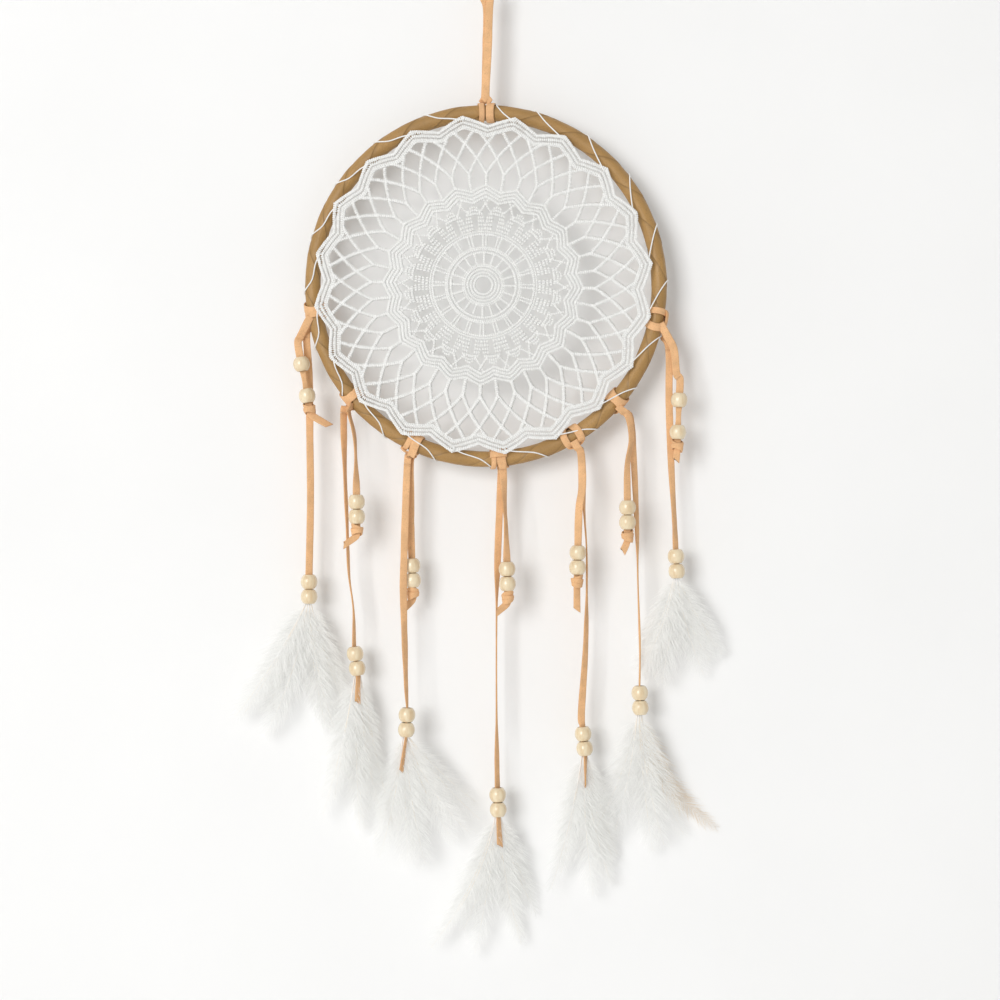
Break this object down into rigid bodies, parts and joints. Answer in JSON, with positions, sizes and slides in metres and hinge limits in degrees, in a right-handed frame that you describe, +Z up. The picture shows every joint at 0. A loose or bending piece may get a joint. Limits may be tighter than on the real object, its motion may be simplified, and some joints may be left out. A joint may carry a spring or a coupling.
{
  "type": "dream catcher",
  "caption": "Dream catcher: wrapped hoop with a laced crochet doily, a strap loop to hang it by, and strap pendants with wooden beads and white feathers.",
  "frame": {"origin": "the hang point: the underside of the strap at the top of the hanging loop, where a nail or hook carries it", "axes": "+Z up along the object's length, -Y the front with the doily, +X to the right as seen from the front"},
  "size_m": [0.256, 0.0334, 0.5399],
  "materials": {
    "suede": "peach-tan faux suede strap, matt with a short nap",
    "rattan": "bare peeled rattan",
    "wrap_tape": "kraft-brown tape wound in overlapping turns, satin",
    "crochet_cotton": "white twisted crochet cotton",
    "beech": "pale beech, thin gloss varnish",
    "feather": "fluffy white down feathers, translucent"
  },
  "bodies": {
    "hanger": {"hanging_loop": "suede"},
    "top_knot": {"top_hitch": "suede"},
    "hoop": {"hoop_ring": "rattan", "hoop_wrap": "wrap_tape", "doily": "crochet_cotton", "lacing_thread": "crochet_cotton", "strap_hitches": "suede"},
    "pendant_1": {"long_strap_1": "suede", "short_strap_1": "suede"},
    "low_bead_1": {"lower_bead_1": "beech"},
    "high_bead_1": {"upper_bead_1": "beech"},
    "feather_drop_1": {"strap_tail_1": "suede", "feather_beads_1": "beech", "feathers_1": "feather"},
    "pendant_2": {"long_strap_2": "suede", "short_strap_2": "suede"},
    "low_bead_2": {"lower_bead_2": "beech"},
    "high_bead_2": {"upper_bead_2": "beech"},
    "feather_drop_2": {"strap_tail_2": "suede", "feather_beads_2": "beech", "feathers_2": "feather"},
    "pendant_3": {"long_strap_3": "suede", "short_strap_3": "suede"},
    "low_bead_3": {"lower_bead_3": "beech"},
    "high_bead_3": {"upper_bead_3": "beech"},
    "feather_drop_3": {"strap_tail_3": "suede", "feather_beads_3": "beech", "feathers_3": "feather"},
    "pendant_4": {"long_strap_4": "suede", "short_strap_4": "suede"},
    "low_bead_4": {"lower_bead_4": "beech"},
    "high_bead_4": {"upper_bead_4": "beech"},
    "feather_drop_4": {"strap_tail_4": "suede", "feather_beads_4": "beech", "feathers_4": "feather"},
    "pendant_5": {"long_strap_5": "suede", "short_strap_5": "suede"},
    "low_bead_5": {"lower_bead_5": "beech"},
    "high_bead_5": {"upper_bead_5": "beech"},
    "feather_drop_5": {"strap_tail_5": "suede", "feather_beads_5": "beech", "feathers_5": "feather"},
    "pendant_6": {"long_strap_6": "suede", "short_strap_6": "suede"},
    "low_bead_6": {"lower_bead_6": "beech"},
    "high_bead_6": {"upper_bead_6": "beech"},
    "feather_drop_6": {"strap_tail_6": "suede", "feather_beads_6": "beech", "feathers_6": "feather"},
    "pendant_7": {"long_strap_7": "suede", "short_strap_7": "suede"},
    "low_bead_7": {"lower_bead_7": "beech"},
    "high_bead_7": {"upper_bead_7": "beech"},
    "feather_drop_7": {"strap_tail_7": "suede", "feather_beads_7": "beech", "feathers_7": "feather"}
  },
  "joints": [
    {"name": "hoop_turn", "type": "hinge", "parent": "hanger", "child": "top_knot", "pos_m": [0, 0, -0.06175], "axis": [0, 0, 1], "range_deg": [-90, 90]},
    {"name": "hoop_tilt", "type": "hinge", "parent": "top_knot", "child": "hoop", "pos_m": [0, 0, -0.07235], "axis": [1, 0, 0], "range_deg": [-20, 20]},
    {"name": "swing_1", "type": "hinge", "parent": "hoop", "child": "pendant_1", "pos_m": [-0.0946, 0, -0.19614], "axis": [1, 0, 0], "range_deg": [-35, 35]},
    {"name": "feather_swing_1", "type": "hinge", "parent": "pendant_1", "child": "feather_drop_1", "pos_m": [-0.098, 0.0025, -0.32669], "axis": [1, 0, 0], "range_deg": [-30, 30]},
    {"name": "low_bead_slide_1", "type": "slide", "parent": "pendant_1", "child": "low_bead_1", "axis": [-0.1736, 0, 0.9848], "range_m": [0, 0.004]},
    {"name": "high_bead_slide_1", "type": "slide", "parent": "low_bead_1", "child": "high_bead_1", "axis": [-0.1736, 0, 0.9848], "range_m": [-0.0095, 0.002]},
    {"name": "swing_2", "type": "hinge", "parent": "hoop", "child": "pendant_2", "pos_m": [-0.0737, 0, -0.23797], "axis": [1, 0, 0], "range_deg": [-35, 35]},
    {"name": "feather_swing_2", "type": "hinge", "parent": "pendant_2", "child": "feather_drop_2", "pos_m": [-0.07305, 0.0025, -0.36656], "axis": [1, 0, 0], "range_deg": [-30, 30]},
    {"name": "low_bead_slide_2", "type": "slide", "parent": "pendant_2", "child": "low_bead_2", "axis": [-0.0175, 0, 0.9998], "range_m": [0, 0.01]},
    {"name": "high_bead_slide_2", "type": "slide", "parent": "low_bead_2", "child": "high_bead_2", "axis": [-0.0175, 0, 0.9998], "range_m": [0, 0.008]},
    {"name": "swing_3", "type": "hinge", "parent": "hoop", "child": "pendant_3", "pos_m": [-0.04042, 0, -0.26619], "axis": [1, 0, 0], "range_deg": [-35, 35]},
    {"name": "feather_swing_3", "type": "hinge", "parent": "pendant_3", "child": "feather_drop_3", "pos_m": [-0.04349, -0.0025, -0.39994], "axis": [1, 0, 0], "range_deg": [-30, 30]},
    {"name": "low_bead_slide_3", "type": "slide", "parent": "pendant_3", "child": "low_bead_3", "axis": [-0.0349, 0, 0.9994], "range_m": [0, 0.01]},
    {"name": "high_bead_slide_3", "type": "slide", "parent": "low_bead_3", "child": "high_bead_3", "axis": [-0.0349, 0, 0.9994], "range_m": [0, 0.008]},
    {"name": "swing_4", "type": "hinge", "parent": "hoop", "child": "pendant_4", "pos_m": [0.00701, 0, -0.27139], "axis": [1, 0, 0], "range_deg": [-35, 35]},
    {"name": "feather_swing_4", "type": "hinge", "parent": "pendant_4", "child": "feather_drop_4", "pos_m": [0.00627, 0.0025, -0.44465], "axis": [1, 0, 0], "range_deg": [-30, 30]},
    {"name": "low_bead_slide_4", "type": "slide", "parent": "pendant_4", "child": "low_bead_4", "axis": [-0.0262, 0, 0.9997], "range_m": [0, 0.01]},
    {"name": "high_bead_slide_4", "type": "slide", "parent": "low_bead_4", "child": "high_bead_4", "axis": [-0.0262, 0, 0.9997], "range_m": [0, 0.008]},
    {"name": "swing_5", "type": "hinge", "parent": "hoop", "child": "pendant_5", "pos_m": [0.04739, 0, -0.26108], "axis": [1, 0, 0], "range_deg": [-35, 35]},
    {"name": "feather_swing_5", "type": "hinge", "parent": "pendant_5", "child": "feather_drop_5", "pos_m": [0.05328, 0.0025, -0.41086], "axis": [1, 0, 0], "range_deg": [-30, 30]},
    {"name": "low_bead_slide_5", "type": "slide", "parent": "pendant_5", "child": "low_bead_5", "axis": [0.0262, 0, 0.9997], "range_m": [0, 0.01]},
    {"name": "high_bead_slide_5", "type": "slide", "parent": "low_bead_5", "child": "high_bead_5", "axis": [0.0262, 0, 0.9997], "range_m": [0, 0.008]},
    {"name": "swing_6", "type": "hinge", "parent": "hoop", "child": "pendant_6", "pos_m": [0.07186, 0, -0.24013], "axis": [1, 0, 0], "range_deg": [-35, 35]},
    {"name": "feather_swing_6", "type": "hinge", "parent": "pendant_6", "child": "feather_drop_6", "pos_m": [0.08492, 0.0025, -0.38818], "axis": [1, 0, 0], "range_deg": [-30, 30]},
    {"name": "low_bead_slide_6", "type": "slide", "parent": "pendant_6", "child": "low_bead_6", "axis": [0, 0, 1], "range_m": [0, 0.01]},
    {"name": "high_bead_slide_6", "type": "slide", "parent": "low_bead_6", "child": "high_bead_6", "axis": [0, 0, 1], "range_m": [0, 0.008]},
    {"name": "swing_7", "type": "hinge", "parent": "hoop", "child": "pendant_7", "pos_m": [0.09402, 0, -0.20309], "axis": [1, 0, 0], "range_deg": [-35, 35]},
    {"name": "feather_swing_7", "type": "hinge", "parent": "pendant_7", "child": "feather_drop_7", "pos_m": [0.10491, 0.0025, -0.31265], "axis": [1, 0, 0], "range_deg": [-30, 30]},
    {"name": "low_bead_slide_7", "type": "slide", "parent": "pendant_7", "child": "low_bead_7", "axis": [0.0401, 0, 0.9992], "range_m": [0, 0.004]},
    {"name": "high_bead_slide_7", "type": "slide", "parent": "low_bead_7", "child": "high_bead_7", "axis": [0.0401, 0, 0.9992], "range_m": [-0.0095, 0.002]}
  ]
}
